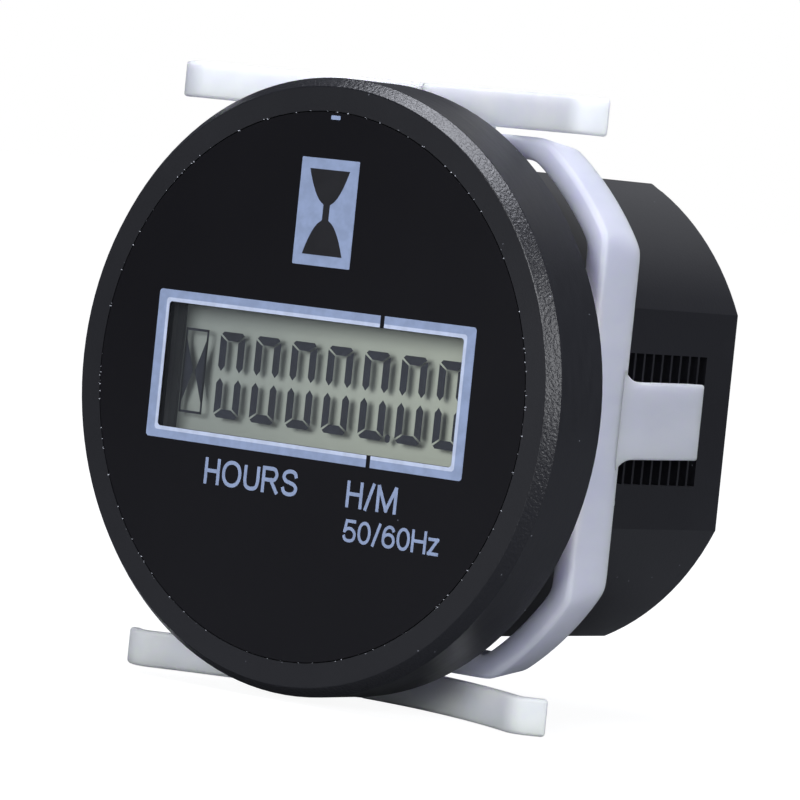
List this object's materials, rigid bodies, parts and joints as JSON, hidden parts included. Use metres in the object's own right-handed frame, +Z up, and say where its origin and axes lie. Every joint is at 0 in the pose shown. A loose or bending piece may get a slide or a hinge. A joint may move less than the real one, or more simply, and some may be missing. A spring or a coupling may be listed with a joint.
{
  "type": "panel hour meter",
  "caption": "Round panel-mount hour meter with a digital readout, a ratcheting white clamp with bowed bars and rear blade terminals.",
  "frame": {"origin": "centre of the panel collar at the flange's rear face, where the panel sits", "axes": "+Y along the barrel to the rear, +Z up, face towards -Y"},
  "size_m": [0.06, 0.0462, 0.0608],
  "materials": {
    "housing_plastic": "fine spark-eroded texture, black",
    "overlay_film": "satin black printed film",
    "clear_lens": "clear polycarbonate",
    "cover_plastic": "fine matt texture, black",
    "screw_steel": "zinc plated",
    "plated_brass": "tin plated",
    "polarizer_film": "clear film",
    "display_glass": "clear",
    "reflector_film": "grey-green reflector",
    "holder_plastic": "matt black",
    "contact_rubber": "layered conductive rubber",
    "board_laminate": "green solder resist",
    "chip_resin": "moulded epoxy",
    "crystal_can": "drawn can",
    "post_nylon": "natural nylon",
    "header_pins": "gold flash",
    "film_capacitor_resin": "red epoxy",
    "capacitor_sleeve": "dark blue sleeve",
    "resistor_body": "ceramic coating",
    "diode_glass": "orange glass",
    "varistor_resin": "blue epoxy",
    "clamp_nylon": "natural white nylon, translucent"
  },
  "bodies": {
    "meter": {"housing": "housing_plastic", "face_overlay": "overlay_film", "front_lens": "clear_lens", "rear_cover": "cover_plastic", "cover_screws": "screw_steel", "terminal_left": "plated_brass", "terminal_right": "plated_brass", "lcd_polarizer": "polarizer_film", "lcd_front_glass": "display_glass", "lcd_rear_glass": "display_glass", "lcd_reflector": "reflector_film", "lcd_holder": "holder_plastic", "contact_strip_upper": "contact_rubber", "contact_strip_lower": "contact_rubber", "display_board": "board_laminate", "display_screws": "screw_steel", "controller_chip": "chip_resin", "memory_chip": "chip_resin", "timing_crystal": "crystal_can", "spacer_posts": "post_nylon", "board_header": "header_pins", "supply_board": "board_laminate", "supply_screws": "screw_steel", "dropper_capacitor": "film_capacitor_resin", "smoothing_capacitor": "capacitor_sleeve", "bridge_rectifier": "chip_resin", "surge_resistor": "resistor_body", "discharge_resistor": "resistor_body", "zener_diode": "diode_glass", "surge_varistor": "varistor_resin"},
    "clamp": {"retaining_clamp": "clamp_nylon"},
    "tongue_left": {"tongue_left": "clamp_nylon"},
    "tongue_right": {"tongue_right": "clamp_nylon"},
    "arm_upper_right": {"bar_arm_upper_right": "clamp_nylon"},
    "arm_upper_left": {"bar_arm_upper_left": "clamp_nylon"},
    "arm_lower_right": {"bar_arm_lower_right": "clamp_nylon"},
    "arm_lower_left": {"bar_arm_lower_left": "clamp_nylon"}
  },
  "joints": [
    {"name": "clamp_slide", "type": "slide", "parent": "meter", "child": "clamp", "axis": [0, 1, 0], "range_m": [-0.0015, 0.06]},
    {"name": "tongue_right_bend", "type": "hinge", "parent": "clamp", "child": "tongue_right", "pos_m": [0.0252, 0.0121, 0], "axis": [0, 0, -1], "range_deg": [0, 12], "stiffness_Nm_per_rad": 0.05},
    {"name": "tongue_left_bend", "type": "hinge", "parent": "clamp", "child": "tongue_left", "pos_m": [-0.0252, 0.0121, 0], "axis": [0, 0, 1], "range_deg": [0, 12], "stiffness_Nm_per_rad": 0.05},
    {"name": "bar_upper_right_flex", "type": "hinge", "parent": "clamp", "child": "arm_upper_right", "pos_m": [0.01018, 0.00501, 0.0288], "axis": [0, 0, 1], "range_deg": [0, 12], "stiffness_Nm_per_rad": 0.05},
    {"name": "bar_upper_left_flex", "type": "hinge", "parent": "clamp", "child": "arm_upper_left", "pos_m": [-0.01018, 0.00501, 0.0288], "axis": [0, 0, -1], "range_deg": [0, 12], "stiffness_Nm_per_rad": 0.05},
    {"name": "bar_lower_right_flex", "type": "hinge", "parent": "clamp", "child": "arm_lower_right", "pos_m": [0.01018, 0.00501, -0.0288], "axis": [0, 0, 1], "range_deg": [0, 12], "stiffness_Nm_per_rad": 0.05},
    {"name": "bar_lower_left_flex", "type": "hinge", "parent": "clamp", "child": "arm_lower_left", "pos_m": [-0.01018, 0.00501, -0.0288], "axis": [0, 0, -1], "range_deg": [0, 12], "stiffness_Nm_per_rad": 0.05}
  ],
  "couplings": [
    {"joint": "bar_upper_left_flex", "follows": "bar_upper_right_flex", "ratio": 1},
    {"joint": "bar_lower_right_flex", "follows": "bar_upper_right_flex", "ratio": 1},
    {"joint": "bar_lower_left_flex", "follows": "bar_upper_right_flex", "ratio": 1}
  ]
}
